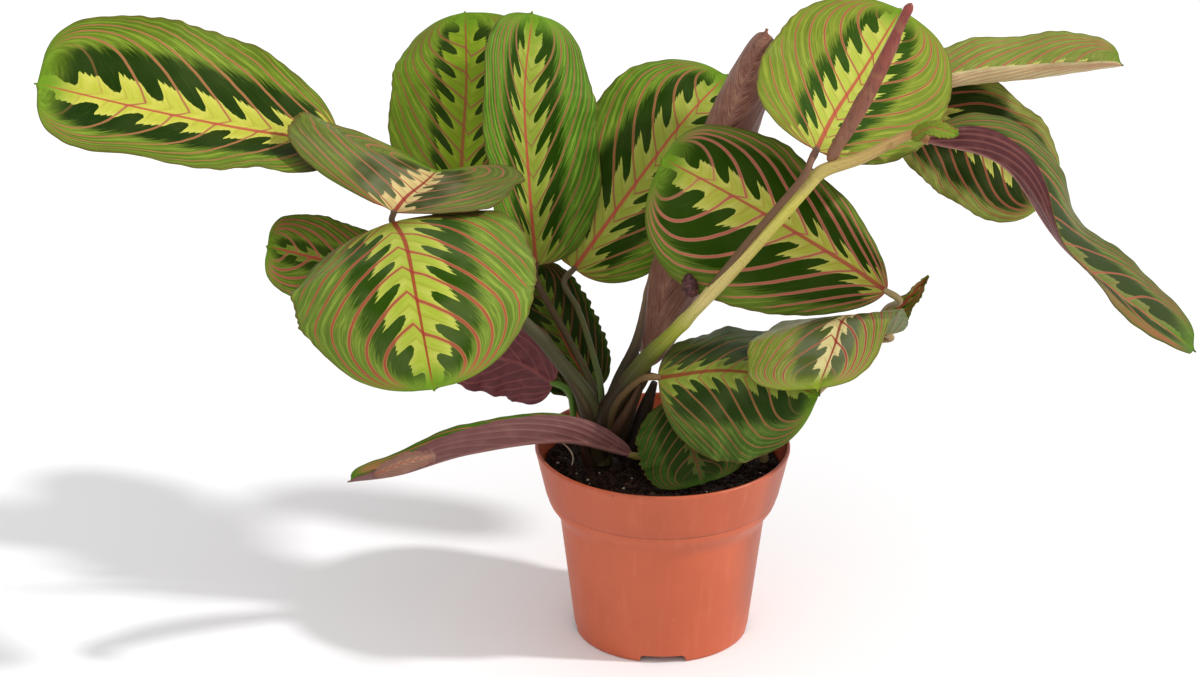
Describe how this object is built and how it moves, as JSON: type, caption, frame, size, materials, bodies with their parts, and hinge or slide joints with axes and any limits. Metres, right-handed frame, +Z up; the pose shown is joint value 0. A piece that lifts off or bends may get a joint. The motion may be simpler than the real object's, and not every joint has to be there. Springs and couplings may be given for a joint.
{
  "type": "potted prayer plant",
  "caption": "A potted prayer plant with broad patterned leaves spreading from a few arching stems, standing in a tapered round pot",
  "frame": {"origin": "the middle of the pot's underside, on the surface it stands on", "axes": "+Z up, the pictured side faces -Y, +X to the right in the picture, the leaves' longest spread along X"},
  "size_m": [0.5211, 0.2076, 0.3192],
  "materials": {
    "leaf": "soft living leaf, satin",
    "stem": "smooth fleshy stalk, satin",
    "spike": "rolled young leaf and bud, satin",
    "soil": "moist crumbly potting soil, matte",
    "pot_plastic": "smooth moulded plastic, satin"
  },
  "bodies": {
    "root": {"pot": "pot_plastic", "soil": "soil", "main_shoot": "stem", "right_stalk": "stem", "low_stalk": "stem", "new_leaf_spike": "spike", "flower_bud": "spike", "leaf_far_left": "leaf", "leaf_saddle": "leaf", "leaf_front_round": "leaf", "leaf_behind_round": "leaf", "leaf_tall_left": "leaf", "leaf_tall_centre": "leaf", "leaf_fan_right": "leaf", "leaf_rolled_back": "leaf", "leaf_right_centre": "leaf", "leaf_top_round": "leaf", "leaf_right_top": "leaf", "leaf_right_dark": "leaf", "leaf_long_drooping": "leaf", "leaf_lower_right": "leaf", "leaf_lower_fold": "leaf", "leaf_over_soil": "leaf", "leaf_lower_left": "leaf", "leaf_underside": "leaf", "leaf_centre_dark": "leaf", "leaf_curled_tail": "leaf"}
  },
  "joints": []
}
